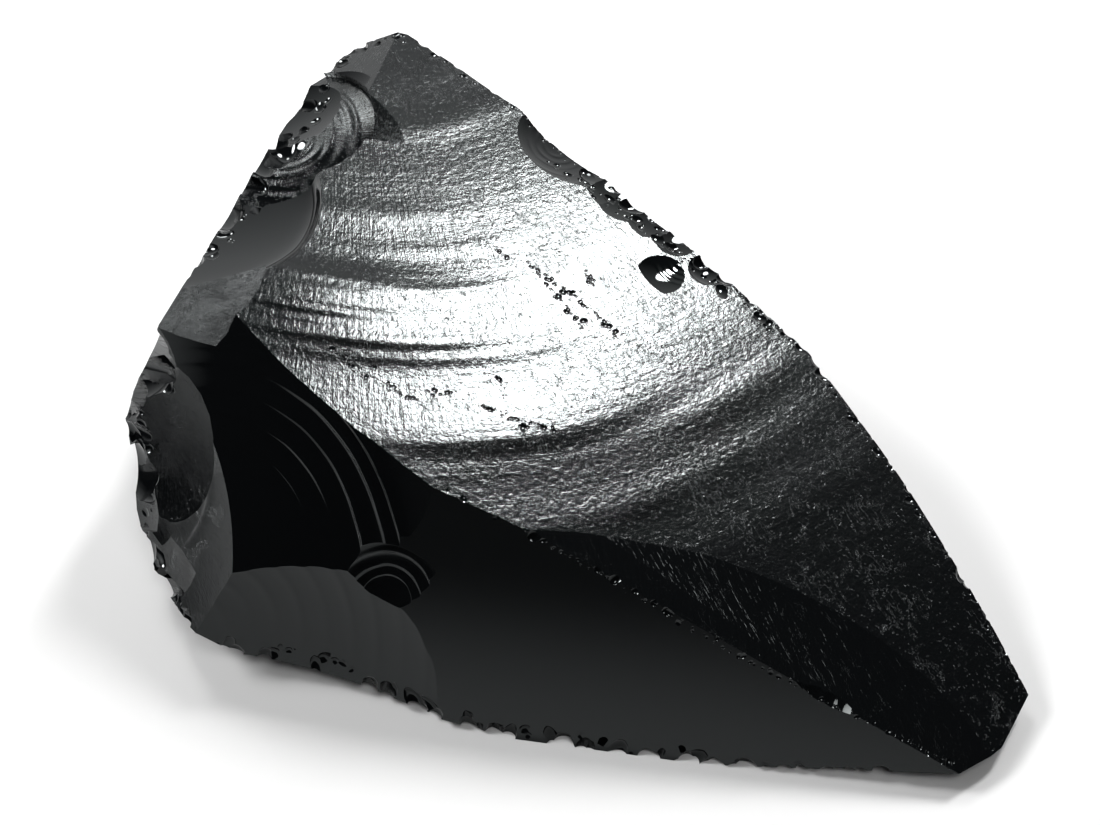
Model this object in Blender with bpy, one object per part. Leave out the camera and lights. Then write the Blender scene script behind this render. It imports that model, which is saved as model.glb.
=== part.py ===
"""Obsidian chunk: one solid lump of black volcanic glass, broken on every side.

Glass breaks in shells. Each face of the lump is one blow: a shallow dish, hollow, flat or domed,
with ripples round the point where the blow struck. The script starts from a plain block, and each
blow takes away all that lies above its dish. Lengths are in millimetres until a mesh is built,
+Z is up, and the lump lies on its flat underside at z = 0.
"""

import math
import random
from collections import namedtuple

import bmesh
import bpy
from mathutils import Vector

MM = 0.001

# Driving dimensions: the block that the lump is broken from, its size and its middle (x, y, z).
BLOCK_SIZE = (104.0, 96.0, 40.0)
BLOCK_CENTRE = (0.0, 0.0, 16.0)

# The point of the table below that becomes the origin: under the middle of the finished lump.
MIDDLE = (0.17, -1.39, 0.0)

# How finely the dishes are divided.
SAG = 0.06            # how far a flat facet may lie from the true dish
WIDEST_GAP = 12.0     # between two rings
SMALLEST_RING = 0.3   # the least radius of a ring
RIPPLE_FOOT = 1.3     # from a ripple's crest to its foot, in widths of the ripple
FEWEST_SPOKES = 10    # round the smallest dish
LID_HEIGHT = 60.0     # from the highest point of a dish to the flat top of its cutter
WELD = 0.02           # corners closer than this are made one
SHARP = 25            # degrees between two facets that meet in an edge

# How the small bites of a crumbled edge are scattered.
PROBE = 8.0           # how far over the edge the search for the lump's surface starts
STRAY = (25, 20)      # how far a bite may turn from the edge's facing, in bearing and in height
SPACING = (0.1, 0.9)  # where in its own share of the edge a bite may lie
SEED = 7

# One blow. `at` is a point of the scar and `facing` its outward direction there, as a bearing from
# +X and a height over the horizon in degrees. `strike` is the point where the blow landed, and the
# rings and ripples run round it. `hollow` holds the radii of curvature away from the strike and
# across it: positive is hollow, negative is domed and 0 is flat. A ripple is its radius, its height
# and its widths on the near and the far side, and, where it fades at both ends, its bearing round
# the strike and its spread in degrees. `reach` is how far the dish goes from the strike.
Blow = namedtuple("Blow", "name at facing strike hollow ripples reach")

# A crumbled edge: points along it, the way its bites face, how many there are, and their size.
Edge = namedtuple("Edge", "name path facing bites radius depth")


def blow(name, at, facing, strike=None, hollow=(0, 0), ripples=(), reach=130.0):
    return Blow(name, at, facing, strike or at, hollow, tuple(ripples), reach)


def train(first, pitch, count, height, near, far, growth=1.0):
    """Evenly spaced ripples, each `growth` times as high as the last."""
    return [(first + pitch * i, height * growth ** i, near, far) for i in range(count)]


# The broad faces, which give the lump its outline.
BROAD = [
    # The long satin face, the darker slope below it, and the steep front.
    blow("main", (2.6, 0.0, 22.9), (-26, 73), strike=(-23.8, 48.8, 36.7), hollow=(-320, -700),
         ripples=[(28.0, 0.12, 2.5, 2.0), (39.6, 0.10, 1.8, 1.4, -22, 14),
                  (48.2, 0.10, 1.0, 0.9, -33, 12), (51.0, 0.18, 1.4, 1.2, -30, 11),
                  (55.2, 0.22, 1.5, 1.3, -21, 15), (66.2, 0.26, 2.4, 2.0, -14, 18),
                  (70.0, 0.16, 2.0, 2.0, 9, 10), (76.0, 0.14, 2.4, 2.4, 2, 14)]),
    blow("low", (27.0, -27.9, 9.9), (-49, 65), strike=(-23.8, 48.8, 32.0)),
    blow("front", (2.4, -30.0, 11.2), (-99, 26)),
    blow("flank", (-35.3, 10.8, 27.7), (160, 66)),
    blow("left_end", (-40.8, -14.2, 13.0), (-136, 30), hollow=(60, 60), reach=34),
    blow("base", (-2.5, -8.5, 0.0), (0, -90)),
    # Round the back, from the apex to the point.
    blow("apex", (-22.7, 37.0, 29.7), (129, -15)),
    blow("apex_tip", (-18.0, 36.3, 31.6), (85, -14)),
    blow("back", (-11.6, 32.6, 29.8), (54, -12)),
    blow("back_right", (0.1, 22.9, 26.0), (55, -18)),
    blow("right", (15.0, 11.3, 20.7), (58, -20), strike=(13.0, 15.0, 25.0),
         ripples=[(12.0, 0.15, 1.6, 0.8), (17.0, 0.22, 1.8, 0.9), (23.0, 0.20, 2.2, 1.0)]),
    blow("right_low", (27.6, -2.3, 14.9), (46, -28)),
    blow("right_tip", (37.7, -16.7, 9.2), (44, -30)),
    blow("point", (44.1, -27.2, 4.7), (43, -32)),
    blow("under_point", (44.5, -34.7, 2.8), (-22, -67)),
    blow("under_tip", (29.4, -37.7, 1.4), (-72, -76)),
    # Round the left, from the apex to the foot.
    blow("back_left", (-37.3, 10.2, 27.6), (163, 20)),
    blow("back_under", (-38.5, 8.0, 18.0), (150, -14), strike=(-40.0, 8.0, 34.0), hollow=(80, 0),
         ripples=train(18.0, 4.5, 4, 0.25, 1.6, 0.8)),
    blow("end_upper", (-44.2, -5.8, 22.0), (160, 19)),
    blow("end_middle", (-46.2, -8.4, 14.6), (165, -18)),
    blow("end_lower", (-45.4, -13.5, 8.9), (178, -32)),
    blow("end_foot", (-43.2, -18.9, 5.8), (-151, -40)),
    blow("end_toe", (-38.6, -24.9, 6.0), (-135, -42)),
    # The underside, off the flat part that it rests on.
    blow("under_scoop", (-24.3, -29.3, 2.4), (-133, -75)),
    blow("under_back", (-22.0, 24.0, 6.0), (112, -40), strike=(-30.0, 34.0, 24.0), hollow=(50, 60),
         ripples=train(16.0, 4.0, 6, 0.22, 1.4, 0.7), reach=60),
    blow("under_right", (15.0, -1.0, 3.0), (44, -50), strike=(28.0, 10.0, 20.0), hollow=(45, 60),
         ripples=train(14.0, 4.0, 8, 0.18, 1.4, 0.7), reach=60),
    blow("under_end", (-37.0, 3.0, 3.0), (160, -52), strike=(-52.0, 8.0, 20.0), hollow=(40, 50),
         ripples=train(14.0, 4.0, 5, 0.15, 1.2, 0.6), reach=50),
]

# The shell scars that are struck into the broad faces.
SCARS = [
    blow("shell", (-26.9, -17.3, 21.8), (-112, 38), strike=(-36.2, -20.4, 13.7), hollow=(70, -90),
         ripples=[(11.0, 0.10, 0.4, 0.8, -8, 22), (13.5, 0.14, 0.4, 0.8, 6, 26), (16.0, 0.26, 0.4, 0.9),
                  (18.4, 0.30, 0.4, 0.8), (19.9, 0.20, 0.3, 0.7, 0, 30)], reach=29),
    blow("scoop", (-24.5, -26.3, 5.8), (-102, 24), strike=(-38.7, -22.9, 6.3), hollow=(45, 45),
         ripples=train(4.0, 2.6, 9, 0.05, 0.6, 0.4), reach=34),
]

# The chips along the edges.
CHIPS = [
    # Down the left flank, from the apex.
    blow("apex_chip", (-25.5, 34.0, 29.2), (-142, 56), strike=(-30.0, 33.0, 27.0), hollow=(24, 16),
         reach=10),
    blow("apex_step", (-19.6, 25.5, 30.9), (-112, 70), strike=(-19.0, 33.0, 33.0), hollow=(40, 22),
         reach=13.5),
    blow("flank_b", (-24.2, 26.2, 28.5), (-162, 80), strike=(-31.0, 23.3, 27.9), hollow=(60, -22),
         ripples=[(3.4, 0.12, 0.5, 0.4), (5.3, 0.12, 0.5, 0.4), (7.2, 0.12, 0.5, 0.4)], reach=10.3),
    blow("flank_pit", (-30.4, 22.8, 27.3), (-100, 60), strike=(-32.5, 23.5, 27.9), hollow=(5, 4),
         reach=4.6),
    blow("flank_c", (-29.5, 9.6, 28.3), (172, 74), strike=(-37.0, 10.5, 27.0), hollow=(80, 40),
         ripples=[(13.9, 2.4, 2.4, 2.4)], reach=13.9),
    blow("flank_d", (-34.6, 1.0, 27.9), (-172, 82), strike=(-38.5, 0.5, 27.5), hollow=(60, 60),
         reach=8.2),
    # Along the back edge.
    blow("edge_a", (-2.8, 24.1, 25.7), (-22, 72), strike=(-2.6, 24.8, 25.7), hollow=(16, 16),
         ripples=[(2.9, 0.10, 0.6, 0.5), (4.8, 0.12, 0.6, 0.5)], reach=14),
    blow("edge_b", (3.3, 18.9, 24.3), (-18, 70), strike=(4.4, 19.6, 24.0), hollow=(9, 12), reach=6),
    blow("edge_c", (2.8, 16.4, 24.9), (-26, 73), strike=(4.0, 18.0, 24.8), hollow=(27, 27), reach=4.4),
    blow("edge_d", (9.0, 8.9, 21.9), (-30, 72), strike=(11.4, 11.0, 21.2), hollow=(8, 6),
         ripples=[(2.0, 0.08, 0.3, 0.3), (3.2, 0.08, 0.3, 0.3)], reach=5.5),
    blow("edge_e", (13.4, 10.1, 20.5), (-20, 70), hollow=(3.4, 3.0), reach=4),
    # Where the shell meets the front, and a bite out of the long ridge.
    blow("small_shell", (-16.6, -24.4, 14.9), (-106, 30), strike=(-18.6, -26.2, 12.4), hollow=(20, 11),
         ripples=[(2.6, 0.08, 0.3, 0.6), (4.2, 0.12, 0.3, 0.6)], reach=6.2),
    blow("ridge_bite", (23.0, -34.3, 8.6), (-75, 48), strike=(18.0, -34.0, 9.0), hollow=(24, 9),
         ripples=[(5.0, 0.08, 0.4, 0.6)], reach=9),
    # The shallow hollows of the left end, from the top.
    blow("end_a", (-42.0, -7.6, 18.6), (-132, 38), strike=(-45.5, -5.0, 20.0), hollow=(30, 16), reach=8.5),
    blow("end_b", (-38.6, -11.4, 15.9), (-129, 32), strike=(-42.0, -9.0, 17.0), hollow=(50, 30), reach=9),
    blow("end_c", (-42.6, -12.5, 11.5), (-150, 22), strike=(-44.5, -10.0, 15.0), hollow=(40, 24),
         ripples=[(3.4, 0.06, 0.4, 0.6)], reach=8),
    blow("end_d", (-40.4, -18.4, 7.6), (-141, 20), strike=(-43.0, -16.0, 9.0), hollow=(34, 20), reach=7),
]

# The crumbled edges, where small bites were crushed out of the glass.
EDGES = [
    Edge("ridge", [(-13, -21, 24), (2, -27, 18), (16, -32, 11), (27, -36, 7), (37, -39, 3)],
         (-75, 48), 14, (1.5, 5.0), (0.04, 0.10)),
    Edge("back", [(-19, 36, 31), (-8, 29, 29), (8, 16, 23), (21, 5, 18), (34, -11, 12), (46, -31, 3)],
         (55, 35), 28, (1.5, 5.0), (0.05, 0.16)),
    Edge("foot", [(42, -37, 2), (27, -39, 1), (1, -35, 1), (-14, -32, 2), (-22, -28, 3), (-36, -26, 5)],
         (-95, -25), 14, (2.0, 5.0), (0.06, 0.16)),
    Edge("end", [(-37, -25, 5), (-45, -16, 6), (-46, -6, 17), (-42, -5, 25), (-38, 5, 27)],
         (165, 5), 18, (1.5, 4.5), (0.08, 0.25)),
    Edge("flank", [(-38, 5, 27), (-34, 14, 28), (-31, 25, 28), (-25, 35, 29), (-20, 36, 30)],
         (150, 30), 14, (1.2, 3.5), (0.06, 0.20)),
]


def direction(bearing, height):
    """Unit vector at this bearing and height over the horizon, in degrees."""
    turn, rise = math.radians(bearing), math.radians(height)
    return Vector((math.cos(rise) * math.cos(turn), math.cos(rise) * math.sin(turn), math.sin(rise)))


def placed(point):
    """A point of the table in the lump's own frame, in metres."""
    return (point - Vector(MIDDLE)) * MM


def axes(item):
    """The dish's own axes: away from the strike, across, and outward, with the strike's distance."""
    outward = direction(*item.facing)
    back = Vector(item.strike) - Vector(item.at)
    back -= back.dot(outward) * outward
    distance = back.length
    along = -back.normalized() if distance > 0.01 else outward.orthogonal().normalized()
    return along, outward.cross(along), outward, distance


def depth(item, distance, u, v):
    """Height of the dish's surface over its tangent plane."""
    radius_u, radius_v = item.hollow
    height = u * u / (2 * radius_u) if radius_u else 0.0
    height += v * v / (2 * radius_v) if radius_v else 0.0
    reach = math.hypot(u + distance, v)
    turn = math.atan2(v, u + distance)
    for radius, crest, near, far, *fade in item.ripples:
        swell = math.exp(-((turn - math.radians(fade[0])) / math.radians(fade[1])) ** 2) if fade else 1.0
        width = near if reach < radius else far
        height += crest * swell * math.exp(-((reach - radius) / width) ** 2)
    return height


def widest_gap(item):
    """Widest step over the dish that keeps a flat facet within SAG of it."""
    radii = [abs(radius) for radius in item.hollow if radius]
    return min(WIDEST_GAP, math.sqrt(8 * SAG * min(radii))) if radii else item.reach


def ring_radii(item):
    """Radii of the dish's rings: every crest with both its feet, and no step over the widest gap."""
    marks = {item.reach}
    for radius, _, near, far, *_ in item.ripples:
        marks.update((radius - RIPPLE_FOOT * near, radius, radius + RIPPLE_FOOT * far))
    rings = []
    last = 0.0
    for mark in sorted(mark for mark in marks if SMALLEST_RING < mark <= item.reach):
        steps = math.ceil((mark - last) / widest_gap(item))
        rings += [last + (mark - last) * (step + 1) / steps for step in range(steps)]
        last = mark
    return rings


def spoke_count(item, distance):
    """How many spokes keep the ripples round and the dish smooth where it meets the lump."""
    widest = max([distance] + [radius for radius, *_ in item.ripples])
    roundness = math.pi * math.sqrt(widest / (2 * SAG)) if item.ripples else 0
    smoothness = math.tau * max(distance, item.reach / 2) / widest_gap(item)
    return math.ceil(max(FEWEST_SPOKES, roundness, smoothness))


def cutter(item):
    """A closed body over the dish: the dish below, a flat lid above, and a wall round both."""
    along, across, outward, distance = axes(item)
    spokes = spoke_count(item, distance)
    turns = [math.tau * spoke / spokes for spoke in range(spokes)]
    mesh = bmesh.new()

    def corner(radius, turn, height=None):
        u, v = radius * math.cos(turn) - distance, radius * math.sin(turn)
        if height is None:
            height = depth(item, distance, u, v)
        return mesh.verts.new(placed(Vector(item.at) + along * u + across * v + outward * height))

    centre = corner(0.0, 0.0)
    rows = [[corner(ring, turn) for turn in turns] for ring in ring_radii(item)]
    rim = [(item.reach * math.cos(turn) - distance, item.reach * math.sin(turn)) for turn in turns]
    top = max(depth(item, distance, u, v) for u, v in rim) + LID_HEIGHT
    lid = [corner(item.reach, turn, top) for turn in turns]
    rows.append(lid)
    for spoke in range(spokes):
        after = (spoke + 1) % spokes
        mesh.faces.new((centre, rows[0][after], rows[0][spoke]))
        for inner, outer in zip(rows, rows[1:]):
            mesh.faces.new((inner[spoke], inner[after], outer[after], outer[spoke]))
    mesh.faces.new(lid)
    bmesh.ops.recalc_face_normals(mesh, faces=mesh.faces)
    return as_object(mesh, "cutter_" + item.name)


def as_object(mesh, name):
    """Turn a bmesh into an object in the scene."""
    data = bpy.data.meshes.new(name)
    mesh.to_mesh(data)
    mesh.free()
    body = bpy.data.objects.new(name, data)
    bpy.context.scene.collection.objects.link(body)
    return body


def block():
    """The plain block that the lump is broken from."""
    mesh = bmesh.new()
    bmesh.ops.create_cube(mesh, size=1.0)
    for vertex in mesh.verts:
        sides = zip(BLOCK_CENTRE, vertex.co, BLOCK_SIZE)
        vertex.co = placed(Vector([middle + side * size for middle, side, size in sides]))
    return as_object(mesh, "obsidian_chunk")


def strike_off(body, item, solver="EXACT"):
    """Take away what lies over one dish, and keep the result as the body's mesh."""
    tool = cutter(item)
    cut = body.modifiers.new(item.name, "BOOLEAN")
    cut.operation = "DIFFERENCE"
    cut.solver = solver
    cut.object = tool
    bpy.context.view_layer.update()
    shaped = body.evaluated_get(bpy.context.evaluated_depsgraph_get())
    result = bpy.data.meshes.new_from_object(shaped)
    body.modifiers.clear()
    before = body.data
    body.data = result
    bpy.data.meshes.remove(before)
    bpy.data.objects.remove(tool)


def point_along(path, share):
    """The point this share of the way along a path, by length."""
    points = [Vector(point) for point in path]
    lengths = [(b - a).length for a, b in zip(points, points[1:])]
    left = share * sum(lengths)
    for start, end, length in zip(points, points[1:], lengths):
        if left <= length:
            return start.lerp(end, left / length)
        left -= length
    return points[-1]


def crumble(body, edge, chance):
    """Bite small dishes out of an edge, each one set on the body's own surface."""
    outward = direction(*edge.facing)
    for number in range(edge.bites):
        share = (number + chance.uniform(*SPACING)) / edge.bites
        facing = [angle + chance.uniform(-stray, stray) for angle, stray in zip(edge.facing, STRAY)]
        radius = chance.uniform(*edge.radius)
        bite_depth = chance.uniform(*edge.depth)
        start = point_along(edge.path, share) + outward * PROBE
        bpy.context.view_layer.update()
        found, place, _, _ = body.ray_cast(placed(start), -outward, distance=2 * PROBE * MM)
        if found:
            at = place / MM + Vector(MIDDLE) - direction(*facing) * bite_depth
            bite = blow(edge.name, tuple(at), facing, hollow=(radius, radius), reach=radius)
            strike_off(body, bite, solver="MANIFOLD")


def tidy(body):
    """Join corners that all but touch, and leave triangles only."""
    mesh = bmesh.new()
    mesh.from_mesh(body.data)
    bmesh.ops.remove_doubles(mesh, verts=mesh.verts, dist=WELD * MM)
    bmesh.ops.dissolve_degenerate(mesh, edges=mesh.edges, dist=WELD * MM)
    bmesh.ops.triangulate(mesh, faces=mesh.faces)
    mesh.to_mesh(body.data)
    mesh.free()


def obsidian():
    """Black volcanic glass: near black, glossy, very slightly cool."""
    finish = bpy.data.materials.new("obsidian")
    finish.use_nodes = True
    shader = finish.node_tree.nodes["Principled BSDF"]
    shader.inputs["Base Color"].default_value = (0.012, 0.013, 0.015, 1.0)
    shader.inputs["Roughness"].default_value = 0.2
    shader.inputs["Metallic"].default_value = 0.0
    shader.inputs["IOR"].default_value = 1.49
    return finish


def main():
    for item in list(bpy.data.objects):
        bpy.data.objects.remove(item)
    body = block()
    for item in BROAD + SCARS + CHIPS:
        strike_off(body, item)
    chance = random.Random(SEED)
    for edge in EDGES:
        crumble(body, edge, chance)
    tidy(body)
    body.data.materials.clear()
    body.data.materials.append(obsidian())
    body.data.shade_smooth()
    body.data.set_sharp_from_angle(angle=math.radians(SHARP))


main()
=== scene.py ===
"""Obsidian chunk: a lump of black volcanic glass with rippled scars, a satin face and worn edges."""

import math
import random
from collections import namedtuple

import bmesh
import bpy
import numpy as np
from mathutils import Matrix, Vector


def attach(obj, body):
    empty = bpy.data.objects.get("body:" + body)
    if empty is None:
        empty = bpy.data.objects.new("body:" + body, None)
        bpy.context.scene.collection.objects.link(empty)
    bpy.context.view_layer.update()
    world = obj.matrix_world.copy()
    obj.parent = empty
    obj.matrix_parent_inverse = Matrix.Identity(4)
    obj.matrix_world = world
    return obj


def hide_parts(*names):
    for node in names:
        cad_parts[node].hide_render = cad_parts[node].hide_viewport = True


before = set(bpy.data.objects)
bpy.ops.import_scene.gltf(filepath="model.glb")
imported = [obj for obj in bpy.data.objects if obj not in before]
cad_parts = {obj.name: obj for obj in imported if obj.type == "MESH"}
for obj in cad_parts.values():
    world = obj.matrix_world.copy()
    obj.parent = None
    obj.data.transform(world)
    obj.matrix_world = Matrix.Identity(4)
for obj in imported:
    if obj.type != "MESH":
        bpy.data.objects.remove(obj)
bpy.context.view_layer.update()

MM = 0.001

# The block that the lump is broken from, and the point of the tables that is the frame's origin.
BLOCK_SIZE = (104.0, 96.0, 40.0)
BLOCK_CENTRE = (0.0, 0.0, 16.0)
MIDDLE = (0.17, -1.39, 0.0)

# How finely the dishes are divided, in millimetres.
SAG = 0.005      # how far a flat facet may lie from the true dish
WIDEST_GAP = 3.0                    # between two rings
NARROWEST_GAP = 0.04                # between two rings
SMALLEST_RING = 0.05                # the least radius of a ring
RIPPLE_STEPS = 5    # rings over the width of a ripple
RIPPLE_FOOT = 2                     # widths from a ripple's crest to its foot
FEWEST_SPOKES = 12                  # round the smallest dish
LID_HEIGHT = 60.0                   # from the highest point of a dish's rim to its cutter's top
LID_SHARE = 1.5                     # the same height on a small dish, as a share of its reach
WELD = 0.004                        # corners closer than this are made one
SLOPE_STEP = 0.01                   # over which the slope of a dish is measured
AT_STRIKE = 0.01                    # a dish this near to its strike lies no way from it

# How far the ripples wander off true circles: pairs of a number of waves round the strike and their
# size as a share of the radius.
WANDER = [(3, 0.006), (5, 0.005), (9, 0.003), (14, 0.0015), (23, 0.0008)]

# How the height of a ripple varies round the strike.
UNEVENNESS = 0.35                   # as a share of the height
UNEVEN_WAVES = (4, 5, 6)            # waves round the strike, on one ripple after another
UNEVEN_TURN = 2.4                   # radians from one ripple's waves to the next one's

# How the small bites are scattered, in millimetres and degrees.
PROBE = 8.0                         # how far over an edge the search for the surface starts
STRAY = (40, 30)                    # how far a bite may turn, in bearing and in height
LONGEST = 2.5                       # the greatest radius along a bite, in radii across it
BITE_REACH = 3.0                    # puts the rim of a bite's dish about a bite's length away
CLEARANCE = 1.5                     # between bites that are cut together, in reaches
SEED = 4

# The obsidian: its colour, its gloss, and the fine relief of its surface in metres.
GLASS = (0.004, 0.0045, 0.005, 1.0)
GLASS_TINT = (0.94, 0.99, 0.99, 1.0)
GLASS_IOR = 1.48
GLOSSY, SATINY = 0.05, 0.17         # roughness of a fresh scar and of the old face
FLAW_ROUGHNESS = 0.15               # added in the pits and cracks
RELIEF = 0.06 * MM
RELIEF_STRENGTH = 0.9

# How much each kind of mark adds to the relief. The pits and cracks go down.
LEATHER_SHARE = 0.7
BAND_SHARE = 0.4
FLAW_SHARE = -0.5
HACKLE_SHARE = 1.4

# The floor, in metres.
FLOOR_HALF = 3.0
FLOOR_GREY = 0.55
FLOOR_ROUGHNESS = 0.9
FLOOR_SHEEN = 0.1
FLOOR_DROP = 0.00002                # keeps it just clear of the underside

# The camera: its height over the horizon in degrees, what it looks at, how far off it stands, its
# lens and its sensor, in millimetres.
VIEW_HEIGHT = 50.0
VIEW_TARGET = (-2.5, -8.5, 20.0)
VIEW_DISTANCE = 260.0
LENS = 85.0
SENSOR = 36.0

# The lamps: how far off they stand in metres, and their beam in degrees on each side.
LAMP_DISTANCE = 0.9
BEAM = 20

# Each lamp: its bearing and its height over the horizon in degrees, its half widths in degrees as
# seen from the lump, its brightness, and the middle of its light on the floor in metres.
Lamp = namedtuple("Lamp", "name bearing height widths brightness pool")
BEHIND = (0.0, 0.07, 0.0)
BEFORE = (-0.02, -0.04, 0.0)
LAMPS = [
    Lamp("key", 52, 51, (5, 9), 84.0, BEHIND),
    Lamp("flank", 113, 50, (8, 8), 20.0, BEHIND),
    Lamp("side", 166, 42, (9, 9), 46.0, BEHIND),
    Lamp("fill", -170, 45, (28, 28), 2.4, BEHIND),
    Lamp("front", -75, 62, (12, 12), 11.0, BEFORE),
]

# The brightness of the sky behind the camera, at the back and along the horizon.
SKY_DIM = 0.01
SKY_BACK = 1.1
SKY_HORIZON = 0.08

# One blow, as in the part's own source. `at` is a point of the scar and `facing` its outward
# direction there, as a bearing from +X and a height over the horizon in degrees. `strike` is the
# point where the blow landed, and the rings and ripples run round it. `hollow` holds the radii of
# curvature away from the strike and across it: positive is hollow, negative is domed and 0 is flat.
# A ripple is its radius, its height and its widths on the near and the far side, and, where it
# fades at both ends, its bearing round the strike and its spread in degrees. `reach` is how far the
# dish goes from the strike. `look` says how satin it is, and how strong its grain and hackles are.
Blow = namedtuple("Blow", "name at facing strike hollow ripples reach look")
SATIN = (1.0, 1.0, 0.28)
HACKLED = (0.7, 0.12, 1.5)
DULL = (0.5, 0.4, 0.2)
WORN = (0.7, 0.5, 0.2)
GLOSS = (0.0, 0.0, 0.0)

# A crumbled edge: points along it, the way its bites face, how many there are, the least and the
# greatest of their radii and of their depths, and how far they lie off the path.
Edge = namedtuple("Edge", "name path facing bites radius depth spread")


def blow(name, at, facing, strike=None, hollow=(0, 0), ripples=(), reach=130.0, look=GLOSS):
    """A blow. Unless it says otherwise it is flat and glossy and cuts right through the block."""
    return Blow(name, at, facing, strike or at, hollow, tuple(ripples), reach, look)


def train(first, pitch, count, height, near, far):
    """Evenly spaced ripples of one height."""
    return [(first + pitch * i, height, near, far) for i in range(count)]


# The broad faces, which give the lump its outline.
BROAD = [
    # The long satin face, the darker slope below it, and the steep front.
    blow("main", (2.6, 0.0, 22.9), (-26, 73), strike=(-23.8, 48.8, 36.7), hollow=(-320, -700),
         ripples=[(21.0, 0.06, 2.5, 2.5), (28.0, 0.07, 2.5, 2.0), (39.6, 0.06, 1.6, 1.3, -22, 14),
                  (44.0, 0.03, 0.9, 0.7, -20, 16), (47.0, 0.03, 0.7, 0.5, -30, 10),
                  (48.2, 0.10, 0.8, 0.7, -34, 12), (49.0, 0.04, 0.6, 0.5, -15, 8),
                  (49.5, 0.31, 3.0, 6.5, -28, 17), (50.0, 0.14, 1.0, 0.8, -31, 11),
                  (51.3, 0.10, 0.7, 0.6, -33, 10), (52.4, 0.10, 0.7, 0.6, -33, 9),
                  (53.6, 0.10, 0.8, 0.6, -31, 10),
                  (55.2, 0.13, 1.2, 1.0, -24, 14), (57.0, 0.11, 0.9, 0.8, -20, 13),
                  (66.2, 0.17, 4.5, 1.8, -17, 17), (69.5, 0.05, 1.5, 1.3, -14, 14),
                  (70.0, 0.06, 2.0, 2.0, 9, 10), (76.0, 0.06, 2.0, 2.0, 2, 14),
                  (83.0, 0.06, 2.5, 2.5, 7, 14)], look=SATIN),
    blow("low", (27.0, -27.9, 9.9), (-49, 65), strike=(-23.8, 48.8, 32.0), look=HACKLED),
    blow("front", (2.4, -30.0, 11.2), (-99, 26)),
    blow("flank", (-35.3, 10.8, 27.7), (160, 66), look=DULL),
    blow("left_end", (-40.8, -14.2, 13.0), (-136, 30), strike=(-45.6, -9.4, 15.0), hollow=(60, 60),
         ripples=[(4.6, 0.08, 0.5, 0.9), (7.0, 0.10, 0.4, 0.9), (9.4, 0.08, 0.4, 0.8),
                  (11.6, 0.06, 0.3, 0.7)], reach=34, look=WORN),
    blow("base", (-2.5, -8.5, 0.0), (0, -90)),
    # Round the back, from the apex to the point.
    blow("apex", (-22.7, 37.0, 29.7), (129, -15)),
    blow("apex_tip", (-18.0, 36.3, 31.6), (85, -14)),
    blow("back", (-11.6, 32.6, 29.8), (54, -12)),
    blow("back_right", (0.1, 22.9, 26.0), (55, -18)),
    blow("right", (15.0, 11.3, 20.7), (58, -20), strike=(13.0, 15.0, 25.0),
         ripples=[(12.0, 0.15, 1.6, 0.8), (17.0, 0.22, 1.8, 0.9), (23.0, 0.20, 2.2, 1.0)]),
    blow("right_low", (27.6, -2.3, 14.9), (46, -28)),
    blow("right_tip", (37.7, -16.7, 9.2), (44, -30)),
    blow("point", (44.1, -27.2, 4.7), (43, -32)),
    blow("under_point", (44.5, -34.7, 2.8), (-22, -67)),
    blow("under_tip", (29.4, -37.7, 1.4), (-72, -76)),
    # Round the left, from the apex to the foot.
    blow("back_left", (-37.3, 10.2, 27.6), (163, 20)),
    blow("back_under", (-38.5, 8.0, 18.0), (150, -14), strike=(-40.0, 8.0, 34.0), hollow=(80, 0),
         ripples=train(18.0, 4.5, 4, 0.25, 1.6, 0.8)),
    blow("end_upper", (-44.2, -5.8, 22.0), (160, 19)),
    blow("end_middle", (-46.2, -8.4, 14.6), (165, -18)),
    blow("end_lower", (-45.4, -13.5, 8.9), (178, -32)),
    blow("end_foot", (-43.2, -18.9, 5.8), (-151, -40)),
    blow("end_toe", (-38.6, -24.9, 6.0), (-135, -42)),
    # The underside, off the flat part that it rests on.
    blow("under_scoop", (-24.3, -29.3, 2.4), (-133, -75)),
    blow("under_back", (-22.0, 24.0, 6.0), (112, -40), strike=(-30.0, 34.0, 24.0), hollow=(50, 60),
         ripples=train(16.0, 4.0, 6, 0.22, 1.4, 0.7), reach=60),
    blow("under_right", (15.0, -1.0, 3.0), (44, -50), strike=(28.0, 10.0, 20.0), hollow=(45, 60),
         ripples=train(14.0, 4.0, 8, 0.18, 1.4, 0.7), reach=60),
    blow("under_end", (-37.0, 3.0, 3.0), (160, -52), strike=(-52.0, 8.0, 20.0), hollow=(40, 50),
         ripples=train(14.0, 4.0, 5, 0.15, 1.2, 0.6), reach=50),
]

# The shell scars that are struck into the broad faces.
SCARS = [
    blow("shell", (-26.9, -17.3, 21.8), (-112, 38), strike=(-36.2, -20.4, 13.7), hollow=(70, -90),
         ripples=[(11.0, 0.07, 0.16, 0.6, -8, 22), (13.5, 0.10, 0.18, 0.7, 6, 26),
                  (16.0, 0.20, 0.24, 0.9, -20, 38), (18.4, 0.26, 0.28, 0.9, -22, 40),
                  (19.9, 0.16, 0.16, 0.7, -12, 30)],
         reach=29),
    blow("scoop", (-24.5, -26.3, 5.8), (-102, 21), strike=(-38.7, -22.9, 6.3), hollow=(45, 45),
         ripples=train(4.0, 2.6, 9, 0.05, 0.6, 0.4), reach=34),
]

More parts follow.
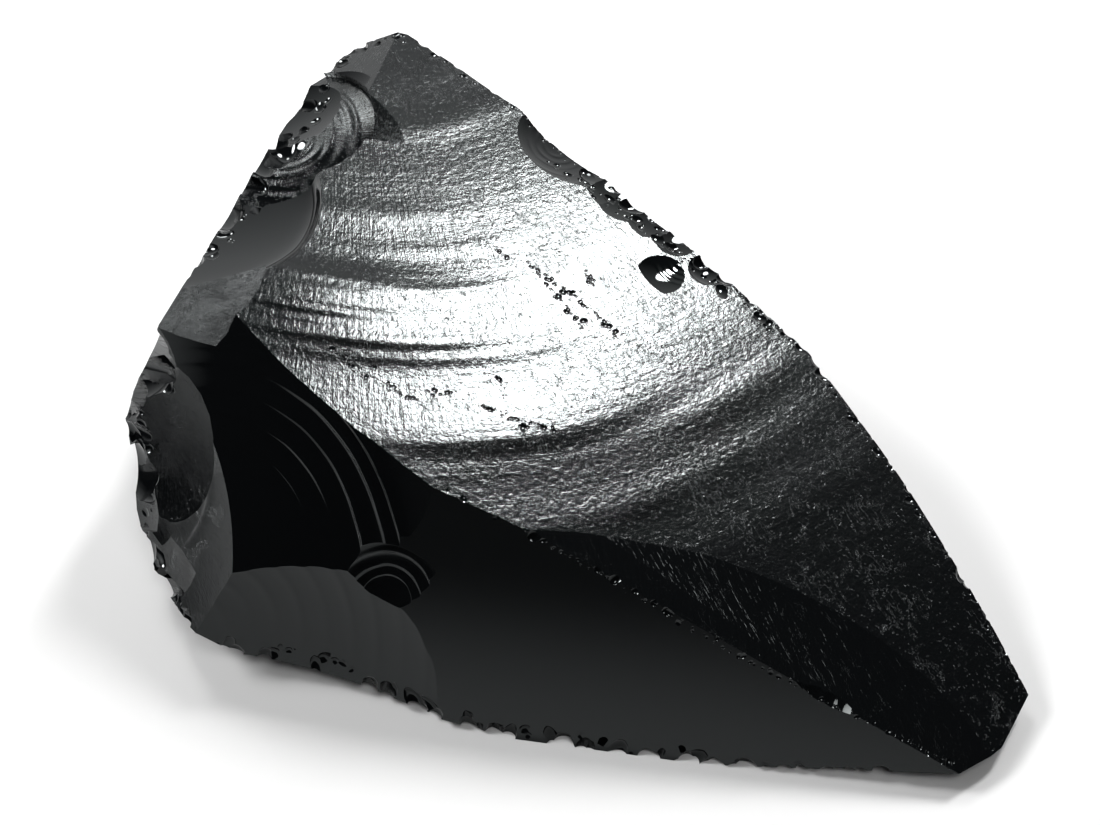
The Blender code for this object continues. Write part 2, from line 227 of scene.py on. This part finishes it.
# The chips along the edges.
CHIPS = [
    # Down the left flank, from the apex.
    blow("apex_chip", (-25.5, 34.0, 29.2), (-142, 56), strike=(-30.0, 33.0, 27.0), hollow=(24, 16),
         reach=10),
    blow("apex_step", (-19.6, 25.5, 30.9), (-112, 70), strike=(-19.0, 33.0, 33.0), hollow=(40, 22),
         reach=13.5, look=SATIN),
    blow("flank_b", (-24.2, 26.2, 28.5), (-162, 80), strike=(-31.0, 23.3, 27.9), hollow=(60, -22),
         ripples=[(3.4, 0.10, 0.5, 0.3), (4.6, 0.06, 0.4, 0.3), (5.5, 0.08, 0.5, 0.3),
                  (6.9, 0.05, 0.5, 0.4), (8.2, 0.07, 0.5, 0.3)], reach=10.3, look=DULL),
    blow("flank_pit", (-30.4, 22.8, 27.3), (-100, 60), strike=(-32.5, 23.5, 27.9), hollow=(5, 4),
         ripples=[(2.4, 0.06, 0.3, 0.2), (3.3, 0.06, 0.3, 0.2)], reach=4.6),
    blow("flank_c", (-29.5, 9.6, 28.3), (172, 74), strike=(-37.0, 10.5, 27.0), hollow=(80, 40),
         ripples=[(13.9, 2.4, 2.4, 2.4), (11.6, 0.08, 0.4, 0.3), (12.7, 0.08, 0.3, 0.2)], reach=13.9),
    blow("flank_d", (-34.6, 1.0, 27.9), (-172, 82), strike=(-38.5, 0.5, 27.5), hollow=(60, 60),
         reach=8.2, look=SATIN),
    # Along the back edge.
    blow("edge_a", (-2.8, 24.1, 25.7), (-8, 67), strike=(-1.9, 23.8, 25.4), hollow=(19, 15),
         ripples=[(1.3, 0.020, 0.3, 0.2), (2.2, 0.022, 0.3, 0.2), (3.1, 0.018, 0.3, 0.2),
                  (4.3, 0.014, 0.3, 0.2), (5.7, 0.010, 0.3, 0.2)], reach=14),
    blow("edge_h", (2.9, 16.3, 24.5), (2, 62), strike=(4.6, 17.8, 24.1), hollow=(12, 10), reach=3.6),
    blow("edge_i", (5.8, 14.6, 23.6), (4, 60), strike=(7.2, 16.0, 23.2), hollow=(10, 12), reach=3.2),
    blow("edge_j", (8.4, 12.4, 22.8), (-4, 62), strike=(9.6, 13.6, 22.3), hollow=(12, 9), reach=3.2),
    blow("edge_k", (16.4, 8.3, 20.1), (0, 60), strike=(17.6, 8.6, 19.5), hollow=(9, 12), reach=3.0),
    blow("edge_b", (3.3, 18.9, 24.3), (-18, 70), strike=(4.4, 19.6, 24.0), hollow=(9, 12), reach=6.0),
    blow("edge_c", (2.8, 16.4, 24.9), (-26, 73), strike=(4.0, 18.0, 24.8), hollow=(27, 27),
         ripples=[(3.4, 0.04, 0.3, 0.2)], reach=4.4),
    blow("edge_d", (9.0, 8.9, 21.9), (-30, 72), strike=(11.4, 11.0, 21.2), hollow=(13, 9),
         ripples=train(1.2, 0.7, 4, 0.025, 0.3, 0.2), reach=5.5),
    blow("edge_e", (13.4, 10.1, 20.5), (-20, 70), hollow=(3.4, 3.0), reach=4),
    blow("edge_f", (21.1, 4.9, 18.2), (-26, 70), hollow=(3.5, 3.0), reach=4),
    blow("edge_g", (25.1, -1.1, 16.3), (-26, 70), hollow=(4.0, 3.5), reach=4),
    # Where the shell meets the front, and a bite out of the long ridge.
    blow("small_shell", (-16.6, -24.4, 14.9), (-106, 30), strike=(-18.6, -26.2, 12.4), hollow=(20, 11),
         ripples=[(2.6, 0.05, 0.12, 0.5), (3.7, 0.09, 0.16, 0.6), (5.1, 0.08, 0.14, 0.5)],
         reach=6.2),
    blow("ridge_bite", (23.0, -34.3, 8.6), (-75, 48), strike=(18.0, -34.0, 9.0), hollow=(24, 9),
         ripples=[(4.2, 0.05, 0.2, 0.5), (6.0, 0.07, 0.2, 0.5), (7.5, 0.05, 0.2, 0.5)], reach=9),
    # The shallow hollows of the left end, from the top.
    blow("end_a", (-42.0, -7.6, 18.6), (-132, 38), strike=(-45.5, -5.0, 20.0), hollow=(30, 16), reach=8.5,
         look=WORN),
    blow("end_b", (-38.6, -11.4, 15.9), (-129, 32), strike=(-42.0, -9.0, 17.0), hollow=(50, 30), reach=9,
         look=WORN),
    blow("end_c", (-42.6, -12.5, 11.5), (-150, 22), strike=(-44.5, -10.0, 15.0), hollow=(40, 24),
         ripples=[(2.6, 0.04, 0.3, 0.5), (4.2, 0.04, 0.3, 0.5)], reach=8, look=WORN),
    blow("end_d", (-40.4, -18.4, 7.6), (-141, 20), strike=(-43.0, -16.0, 9.0), hollow=(34, 20), reach=7,
         look=WORN),
    blow("end_e", (-43.4, -10.6, 14.6), (-124, 38), strike=(-46.0, -8.0, 16.5), hollow=(14, 9),
         ripples=[(2.2, 0.03, 0.2, 0.3), (3.4, 0.03, 0.2, 0.3)], reach=5.2, look=WORN),
    blow("end_f", (-41.6, -15.2, 9.6), (-128, 34), strike=(-44.0, -13.0, 11.5), hollow=(16, 10),
         ripples=[(2.6, 0.03, 0.2, 0.3)], reach=5.0, look=WORN),
]

# The crumbled edges, where small bites were crushed out of the glass.
EDGES = [
    Edge("ridge", [(-13, -21, 24), (2, -27, 18), (16, -32, 11), (27, -36, 7), (37, -39, 3)],
         (-75, 48), 90, (0.12, 0.45), (0.02, 0.05), 0.2),
    Edge("back", [(-19, 36, 31), (-8, 29, 29), (8, 16, 23), (21, 5, 18), (34, -11, 12), (46, -31, 3)],
         (0, 62), 150, (0.2, 0.8), (0.02, 0.08), 0.5),
    Edge("band", [(-2, 20.5, 26), (5, 16.4, 24), (10, 12, 22.3), (15.5, 9.2, 20.4), (22, 3.5, 17.6)],
         (0, 62), 90, (0.2, 0.8), (0.03, 0.10), 0.9),
    Edge("foot", [(42, -37, 2), (27, -39, 1), (1, -35, 1), (-14, -32, 2), (-22, -28, 3), (-36, -26, 5)],
         (-95, -25), 70, (0.2, 0.8), (0.02, 0.07), 0.4),
    Edge("end", [(-37, -25, 5), (-45, -16, 6), (-46, -6, 17), (-42, -5, 25), (-38, 5, 27)],
         (165, 5), 70, (0.3, 1.4), (0.04, 0.14), 0.7),
    Edge("flank", [(-38, 5, 27), (-34, 14, 28), (-31, 25, 28), (-25, 35, 29), (-20, 36, 30)],
         (150, 30), 50, (0.2, 0.9), (0.03, 0.09), 0.7),
]

# Scratches and specks chipped out of the long face.
SCRATCHES = [
    Edge("scratch", path, (-26, 73), count, (0.12, 0.5), (0.015, 0.05), spread)
    for path, count, spread in [
        ([(-5.1, 7.0, 25.8), (1.8, 2.2, 23.4), (4.1, -0.3, 22.4)], 80, 0.22),
        ([(-3.8, 5.8, 25.3), (1.0, -0.4, 23.3)], 45, 0.25),
        ([(1.1, 7.0, 24.2), (2.1, 5.4, 23.7)], 16, 0.35),
        ([(-8.4, 8.0, 26.7), (-6.4, 6.7, 26.1)], 10, 0.2),
        ([(-23.7, -7.2, 28.6), (-23.3, -8.7, 28.2)], 9, 0.2),
        ([(-22.4, -7.2, 28.2), (-22.2, -9.7, 27.9)], 14, 0.2),
        ([(-20.9, -10.5, 27.4), (-19.3, -8.5, 27.3)], 10, 0.25),
        ([(-18.9, -10.7, 26.9), (-15.5, -12.0, 25.9)], 30, 0.25),
        ([(-14.6, -10.8, 25.9), (-12.5, -10.7, 25.3)], 12, 0.25),
        ([(-9.4, -11.3, 24.5), (-5.4, -12.7, 23.2), (-1.5, -12.8, 22.1)], 50, 0.35),
        ([(-7.4, -8.0, 24.5), (-6.9, -10.2, 24.0)], 12, 0.2),
    ]
]


def direction(bearing, height):
    """Unit vector at this bearing and height over the horizon, in degrees."""
    turn, rise = math.radians(bearing), math.radians(height)
    return Vector((math.cos(rise) * math.cos(turn), math.cos(rise) * math.sin(turn), math.sin(rise)))


def placed(point):
    """A point of the tables in the frame, in metres."""
    return (point - Vector(MIDDLE)) * MM


def axes(item):
    """The dish's own axes: away from the strike, across, and outward, with the strike's distance."""
    outward = direction(*item.facing)
    back = Vector(item.strike) - Vector(item.at)
    back -= back.dot(outward) * outward
    distance = back.length
    along = -back.normalized() if distance > AT_STRIKE else outward.orthogonal().normalized()
    return along, outward.cross(along), outward, distance


def wobble(item, turn):
    """How far the ripples wander at this angle, as a share of their radius. The name sets where."""
    seed = sum(map(ord, item.name))
    return sum(size * np.sin(count * turn + seed * count) for count, size in WANDER)


def depth(item, distance, u, v):
    """Height of the dish's surface over its tangent plane, for arrays of u and v."""
    radius_u, radius_v = item.hollow
    height = np.zeros(np.shape(u))
    if radius_u:
        height = height + u * u / (2 * radius_u)
    if radius_v:
        height = height + v * v / (2 * radius_v)
    if item.ripples:
        turn = np.arctan2(v, u + distance)
        reach = np.hypot(u + distance, v) * (1 + wobble(item, turn))
        for number, (radius, crest, near, far, *window) in enumerate(item.ripples):
            waves = UNEVEN_WAVES[number % len(UNEVEN_WAVES)]
            swell = 1 + UNEVENNESS * np.sin(waves * turn + UNEVEN_TURN * number)
            if window:
                bearing, spread = np.radians(window)
                swell = swell * np.exp(-((turn - bearing) / spread) ** 2)
            width = np.where(reach < radius, near, far)
            height = height + crest * swell * np.exp(-((reach - radius) / width) ** 2)
    return height


def widest_gap(item):
    """Widest step over the dish that keeps a flat facet within SAG of it."""
    radii = [abs(radius) for radius in item.hollow if radius]
    if not radii:
        return WIDEST_GAP if item.ripples else item.reach
    return min(WIDEST_GAP, math.sqrt(8 * SAG * min(radii)))


def ring_radii(item):
    """Radii of the dish's rings: close together over each ripple, and no step over the widest gap."""
    marks = {item.reach}
    for radius, _, near, far, *_ in item.ripples:
        for step in range(-RIPPLE_FOOT * RIPPLE_STEPS, RIPPLE_FOOT * RIPPLE_STEPS + 1):
            width = near if step < 0 else far
            marks.add(radius + step * width / RIPPLE_STEPS)
    rings = []
    last = 0.0
    for mark in sorted(mark for mark in marks if SMALLEST_RING < mark <= item.reach):
        steps = math.ceil((mark - last) / widest_gap(item))
        if mark - last > NARROWEST_GAP or mark == item.reach:
            rings += [last + (mark - last) * (step + 1) / steps for step in range(steps)]
            last = mark
    return np.array(rings)


def spoke_count(item, distance):
    """How many spokes keep the ripples round and the dish smooth where it meets the lump."""
    widest = max([distance] + [radius for radius, *_ in item.ripples])
    roundness = math.pi * math.sqrt(widest / (2 * SAG)) if item.ripples else 0
    smoothness = math.tau * max(distance, item.reach / 2) / widest_gap(item)
    return math.ceil(max(FEWEST_SPOKES, roundness, smoothness))


def dish_points(item):
    """Points of one cutter: the middle of the dish, its rings and the lid over its rim.

    The numbers of rings and of spokes come with them.
    """
    along, across, outward, distance = axes(item)
    rings = ring_radii(item)
    spokes = spoke_count(item, distance)
    turns = math.tau * np.arange(spokes) / spokes
    u = np.outer(rings, np.cos(turns)) - distance
    v = np.outer(rings, np.sin(turns))
    w = depth(item, distance, u, v)
    top = w[-1].max() + min(LID_HEIGHT, LID_SHARE * item.reach)
    middle = [-distance, 0.0, float(depth(item, distance, np.array(-distance), np.array(0.0)))]
    grid = np.stack([u, v, w], axis=-1).reshape(-1, 3)
    lid = np.stack([u[-1], v[-1], np.full(spokes, top)], axis=-1)
    points = np.vstack([[middle], grid, lid]) @ np.array([along, across, outward])
    return (points + np.array(item.at) - np.array(MIDDLE)) * MM, len(rings), spokes


def dish_faces(base, rings, spokes):
    """Faces of one cutter whose points are numbered from here: the dish, a wall and a flat lid."""
    after = np.roll(np.arange(spokes), -1)
    first = base + 1 + np.arange(spokes)
    faces = np.stack([np.full(spokes, base), first[after], first], axis=-1).tolist()
    for row in range(rings):
        inner = first + row * spokes
        outer = inner + spokes
        faces += np.stack([inner, inner[after], outer[after], outer], axis=-1).tolist()
    faces.append((first + rings * spokes).tolist())
    return faces


def cutter(items):
    """One mesh of closed bodies, one over each dish, with the blow's number on each face."""
    points, faces, marks = [], [], []
    base = 0
    for number, item in items:
        own, rings, spokes = dish_points(item)
        points.append(own)
        faces += dish_faces(base, rings, spokes)
        marks += [number] * (len(faces) - len(marks))
        base += len(own)
    data = bpy.data.meshes.new("cutter")
    data.from_pydata(np.vstack(points).tolist(), [], faces)
    data.attributes.new("blow", "INT", "FACE").data.foreach_set("value", marks)
    mesh = bmesh.new()
    mesh.from_mesh(data)
    bmesh.ops.recalc_face_normals(mesh, faces=mesh.faces)
    mesh.to_mesh(data)
    mesh.free()
    return as_object(data, "cutter")


def as_object(data, name):
    """Put a mesh into the scene."""
    body = bpy.data.objects.new(name, data)
    bpy.context.scene.collection.objects.link(body)
    return body


def block():
    """The plain block that the lump is broken from."""
    mesh = bmesh.new()
    bmesh.ops.create_cube(mesh, size=1.0)
    for vertex in mesh.verts:
        sides = zip(BLOCK_CENTRE, vertex.co, BLOCK_SIZE)
        vertex.co = placed(Vector([middle + side * size for middle, side, size in sides]))
    data = bpy.data.meshes.new("stone")
    mesh.to_mesh(data)
    mesh.free()
    data.attributes.new("blow", "INT", "FACE").data.foreach_set("value", [-1] * len(data.polygons))
    return as_object(data, "stone")


def strike_off(body, items):
    """Take away what lies over the dishes, and keep the result as the body's mesh."""
    tool = cutter(items)
    cut = body.modifiers.new("cut", "BOOLEAN")
    cut.operation = "DIFFERENCE"
    cut.solver = "MANIFOLD"
    cut.object = tool
    bpy.context.view_layer.update()
    result = bpy.data.meshes.new_from_object(body.evaluated_get(bpy.context.evaluated_depsgraph_get()))
    body.modifiers.clear()
    before = body.data
    body.data = result
    bpy.data.meshes.remove(before)
    data = tool.data
    bpy.data.objects.remove(tool)
    bpy.data.meshes.remove(data)


def point_along(path, share):
    """The point this share of the way along a path, by length."""
    points = [Vector(point) for point in path]
    lengths = [(b - a).length for a, b in zip(points, points[1:])]
    left = share * sum(lengths)
    for start, end, length in zip(points, points[1:], lengths):
        if left <= length:
            return start.lerp(end, left / length)
        left -= length
    return points[-1]


def bites(body, edge, chance):
    """Small dishes along an edge, each one set on the body's own surface."""
    found_bites = []
    outward = direction(*edge.facing)
    for number in range(edge.bites):
        share = (number + chance.uniform(0.0, 1.0)) / edge.bites
        facing = [angle + chance.uniform(-stray, stray) for angle, stray in zip(edge.facing, STRAY)]
        size = chance.random() ** 2
        radius = edge.radius[0] + size * (edge.radius[1] - edge.radius[0])
        bite_depth = edge.depth[0] + size * (edge.depth[1] - edge.depth[0])
        off_path = Vector([chance.uniform(-edge.spread, edge.spread) for _ in range(3)])
        start = point_along(edge.path, share) + off_path + outward * PROBE
        found, place, _, _ = body.ray_cast(placed(start), -outward, distance=2 * PROBE * MM)
        strike = Vector([chance.uniform(-1.0, 1.0) for _ in range(3)]) * radius
        long_radius = radius * chance.uniform(1.0, LONGEST)
        if found:
            at = place / MM + Vector(MIDDLE) - direction(*facing) * bite_depth
            reach = strike.length + BITE_REACH * math.sqrt(long_radius * bite_depth)
            found_bites.append(blow(edge.name, tuple(at), facing, strike=tuple(at + strike),
                                    hollow=(long_radius, radius), reach=reach))
    return found_bites


def spaced(items):
    """Sort the bites into groups in which no two dishes touch, so that one cut can take a group."""
    groups = []
    for item in items:
        place = Vector(item.strike)
        for group in groups:
            if all((place - Vector(other.strike)).length > CLEARANCE * (item.reach + other.reach)
                   for other in group):
                group.append(item)
                break
        else:
            groups.append([item])
    return groups


def crumble(body, blows, chance):
    """Bite the edges, a group of bites at a time, and add the bites to the blows."""
    for edge in EDGES + SCRATCHES:
        for group in spaced(bites(body, edge, chance)):
            marks = range(len(blows), len(blows) + len(group))
            blows += group
            strike_off(body, list(zip(marks, group)))


def tidy(body):
    """Join corners that all but touch, and leave triangles only."""
    mesh = bmesh.new()
    mesh.from_mesh(body.data)
    bmesh.ops.remove_doubles(mesh, verts=mesh.verts, dist=WELD * MM)
    bmesh.ops.dissolve_degenerate(mesh, edges=mesh.edges, dist=WELD * MM)
    bmesh.ops.triangulate(mesh, faces=mesh.faces)
    mesh.to_mesh(body.data)
    mesh.free()


def corners(mesh):
    """Where each corner of the triangles lies in the tables, and which blow left its face."""
    corner_vertex = np.empty(len(mesh.loops), int)
    mesh.loops.foreach_get("vertex_index", corner_vertex)
    places = np.empty(3 * len(mesh.vertices))
    mesh.vertices.foreach_get("co", places)
    marks = np.empty(len(mesh.polygons), int)
    mesh.attributes["blow"].data.foreach_get("value", marks)
    return places.reshape(-1, 3)[corner_vertex] / MM + np.array(MIDDLE), np.repeat(marks, 3)


def lie(item, points):
    """The true normals of a dish at these points, and their polar places round its strike."""
    along, across, outward, distance = axes(item)
    frame_of = np.array([along, across, outward])
    u, v, _ = ((points - np.array(item.at)) @ frame_of.T).T
    step = SLOPE_STEP
    slope_u = (depth(item, distance, u + step, v) - depth(item, distance, u - step, v)) / (2 * step)
    slope_v = (depth(item, distance, u, v + step) - depth(item, distance, u, v - step)) / (2 * step)
    normals = np.stack([-slope_u, -slope_v, np.ones(len(u))], axis=-1)
    normals /= np.linalg.norm(normals, axis=1)[:, None]
    polar = np.stack([np.arctan2(v, u + distance), np.hypot(u + distance, v)], axis=-1)
    return normals @ frame_of, polar


def finish_surface(body, blows):
    """Give every corner the true normal of its dish, its polar place on it, and its look."""
    mesh = body.data
    points, marks = corners(mesh)
    normals = np.zeros((len(points), 3))
    polar = np.zeros((len(points), 2))
    looks = np.zeros((len(points), 4))
    for number in np.unique(marks):
        here = marks == number
        normals[here], polar[here] = lie(blows[number], points[here])
        looks[here] = (*blows[number].look, 1.0)
    mesh.shade_smooth()
    mesh.normals_split_custom_set(normals.tolist())
    mesh.uv_layers.new(name="polar").data.foreach_set("uv", polar.ravel())
    mesh.attributes.new("look", "FLOAT_COLOR", "CORNER").data.foreach_set("color", looks.ravel())


class Nodes:
    """Short calls that add nodes to a material and wire them."""

    def __init__(self, tree):
        self.tree = tree

    def add(self, kind, inputs=None, **settings):
        node = self.tree.nodes.new(kind)
        for name, value in settings.items():
            setattr(node, name, value)
        for name, value in (inputs or {}).items():
            socket = node.inputs[name]
            if isinstance(value, bpy.types.NodeSocket):
                self.tree.links.new(value, socket)
            else:
                socket.default_value = value
        return node

    def maths(self, operation, a, b=0.0, c=0.0):
        return self.add("ShaderNodeMath", {0: a, 1: b, 2: c}, operation=operation).outputs[0]

    def scaled(self, vector, scale):
        inputs = {"Vector": vector, "Scale": scale}
        return self.add("ShaderNodeMapping", inputs, vector_type="POINT").outputs[0]

    def noise(self, vector, scale, detail=2.0, roughness=0.5, distortion=0.0):
        inputs = {"Vector": vector, "Scale": scale, "Detail": detail, "Roughness": roughness,
                  "Distortion": distortion}
        return self.add("ShaderNodeTexNoise", inputs).outputs["Fac"]

    def between(self, value, low, high, to_low=0.0, to_high=1.0):
        inputs = {"Value": value, "From Min": low, "From Max": high, "To Min": to_low, "To Max": to_high}
        return self.add("ShaderNodeMapRange", inputs).outputs[0]

    def bump(self, height, strength, distance):
        inputs = {"Height": height, "Strength": strength, "Distance": distance}
        return self.add("ShaderNodeBump", inputs).outputs[0]


def obsidian():
    """Black glass: mirror-like in the fresh scars, satin with a fine grain on the old face."""
    finish = bpy.data.materials.new("obsidian")
    finish.use_nodes = True
    nodes = Nodes(finish.node_tree)
    shader = finish.node_tree.nodes["Principled BSDF"]
    link = finish.node_tree.links.new
    look = nodes.add("ShaderNodeVertexColor", layer_name="look").outputs["Color"]
    split = nodes.add("ShaderNodeSeparateColor", {"Color": look})
    satin, grain, hackle = split.outputs
    place = nodes.add("ShaderNodeTexCoord").outputs["Object"]
    polar = nodes.add("ShaderNodeUVMap", uv_map="polar").outputs["UV"]

    # Leathery grain and fine bands along the ripples, and hackles along the way that the crack ran.
    leather = nodes.noise(place, scale=1500.0, detail=3.0, roughness=0.65, distortion=0.4)
    bands = nodes.noise(nodes.scaled(polar, (3.0, 1.0, 1.0)), scale=1.1, detail=5.0, roughness=0.65)
    hackles = nodes.noise(nodes.scaled(polar, (60.0, 0.10, 1.0)), scale=2.6, detail=3.0, roughness=0.6)

    # Small pits all over, and fine cracks in patches.
    pits = nodes.between(nodes.noise(place, scale=2400.0, detail=2.0, roughness=0.7), 0.36, 0.30)
    creases = nodes.noise(nodes.scaled(polar, (60.0, 0.35, 1.0)), scale=1.1, detail=4.0,
                          roughness=0.7, distortion=0.6)
    off_middle = nodes.maths("ABSOLUTE", nodes.maths("SUBTRACT", creases, 0.5))
    cracks = nodes.between(off_middle, 0.012, 0.0)
    patches = nodes.between(nodes.noise(place, scale=260.0, detail=2.0, roughness=0.5), 0.50, 0.58)
    flaws = nodes.maths("MAXIMUM", pits, nodes.maths("MULTIPLY", cracks, patches))

    # All of them in one relief, each as strong as the look of the scar says.
    height = nodes.maths("MULTIPLY", leather, LEATHER_SHARE)
    height = nodes.maths("MULTIPLY_ADD", bands, BAND_SHARE, height)
    height = nodes.maths("MULTIPLY_ADD", flaws, FLAW_SHARE, height)
    height = nodes.maths("MULTIPLY", height, grain)
    hackled = nodes.maths("MULTIPLY", hackle, HACKLE_SHARE)
    height = nodes.maths("MULTIPLY_ADD", hackles, hackled, height)
    link(nodes.bump(height, RELIEF_STRENGTH, RELIEF), shader.inputs["Normal"])

    rough = nodes.between(satin, 0.0, 1.0, GLOSSY, SATINY)
    flawed = nodes.maths("MULTIPLY", flaws, nodes.maths("MULTIPLY", grain, FLAW_ROUGHNESS))
    link(nodes.maths("ADD", rough, flawed), shader.inputs["Roughness"])
    shader.inputs["Base Color"].default_value = GLASS
    shader.inputs["Specular Tint"].default_value = GLASS_TINT
    shader.inputs["IOR"].default_value = GLASS_IOR
    return finish


def pale_floor():
    """The floor's material: plain, pale and matt."""
    finish = bpy.data.materials.new("pale_floor")
    finish.use_nodes = True
    shader = finish.node_tree.nodes["Principled BSDF"]
    shader.inputs["Base Color"].default_value = (FLOOR_GREY, FLOOR_GREY, FLOOR_GREY, 1.0)
    shader.inputs["Roughness"].default_value = FLOOR_ROUGHNESS
    shader.inputs["Specular IOR Level"].default_value = FLOOR_SHEEN
    return finish


def floor():
    """The floor that the lump lies on."""
    mesh = bmesh.new()
    bmesh.ops.create_grid(mesh, x_segments=1, y_segments=1, size=FLOOR_HALF)
    data = bpy.data.meshes.new("floor")
    mesh.to_mesh(data)
    mesh.free()
    data.materials.append(pale_floor())
    ground = as_object(data, "floor")
    ground.location.z = -FLOOR_DROP


def shine(lamp):
    """An oval soft light with a narrow beam, so that the floor falls off towards the camera."""
    light = bpy.data.lights.new(lamp.name, "AREA")
    light.shape = "ELLIPSE"
    light.size, light.size_y = (2 * LAMP_DISTANCE * math.tan(math.radians(w)) for w in lamp.widths)
    light.spread = math.radians(2 * BEAM)
    # Blender makes a lamp brighter as its beam narrows, and this takes that out again.
    focus = 1.0 - math.radians(BEAM) / math.tan(math.radians(BEAM))
    light.energy = lamp.brightness * focus * math.pi ** 2 * light.size * light.size_y / 4
    holder = bpy.data.objects.new(lamp.name, light)
    bpy.context.scene.collection.objects.link(holder)
    holder.location = direction(lamp.bearing, lamp.height) * LAMP_DISTANCE
    holder.rotation_euler = (holder.location - Vector(lamp.pool)).to_track_quat("Z", "Y").to_euler()


def sky():
    """Dim all round: dark behind the camera, brighter at the back and along the horizon."""
    world = bpy.data.worlds.new("studio")
    world.use_nodes = True
    bpy.context.scene.world = world
    nodes = Nodes(world.node_tree)
    background = world.node_tree.nodes["Background"]
    way = nodes.add("ShaderNodeTexCoord").outputs["Generated"]
    _, ahead, up = nodes.add("ShaderNodeSeparateXYZ", {"Vector": way}).outputs
    back = nodes.between(ahead, 0.3, 0.85, to_low=SKY_DIM, to_high=SKY_BACK)
    horizon = nodes.between(up, 0.0, 0.2, to_low=SKY_HORIZON, to_high=0.0)
    level = nodes.maths("MAXIMUM", back, horizon)
    world.node_tree.links.new(level, background.inputs["Color"])
    background.inputs["Strength"].default_value = 1.0


def camera():
    """The camera, in front of the lump and looking down on it."""
    eye = bpy.data.cameras.new("camera")
    eye.lens = LENS
    eye.sensor_width = SENSOR
    holder = bpy.data.objects.new("camera", eye)
    bpy.context.scene.collection.objects.link(holder)
    tilt = math.radians(VIEW_HEIGHT)
    target = placed(Vector(VIEW_TARGET))
    holder.location = target + Vector((0.0, -math.cos(tilt), math.sin(tilt))) * VIEW_DISTANCE * MM
    holder.rotation_euler = (math.radians(90.0 - VIEW_HEIGHT), 0.0, 0.0)
    bpy.context.scene.camera = holder


def lump():
    """The chunk: the block, the blows and the bites, then its surface and its material."""
    blows = BROAD + SCARS + CHIPS
    body = block()
    for number, item in enumerate(blows):
        strike_off(body, [(number, item)])
    crumble(body, blows, random.Random(SEED))
    tidy(body)
    finish_surface(body, blows)
    body.data.materials.clear()
    body.data.materials.append(obsidian())
    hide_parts("obsidian_chunk")
    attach(body, "root")


def main():
    lump()
    floor()
    for lamp in LAMPS:
        shine(lamp)
    sky()
    camera()
    view = bpy.context.scene.view_settings
    view.view_transform = "Standard"
    view.look = "Medium High Contrast"


main()
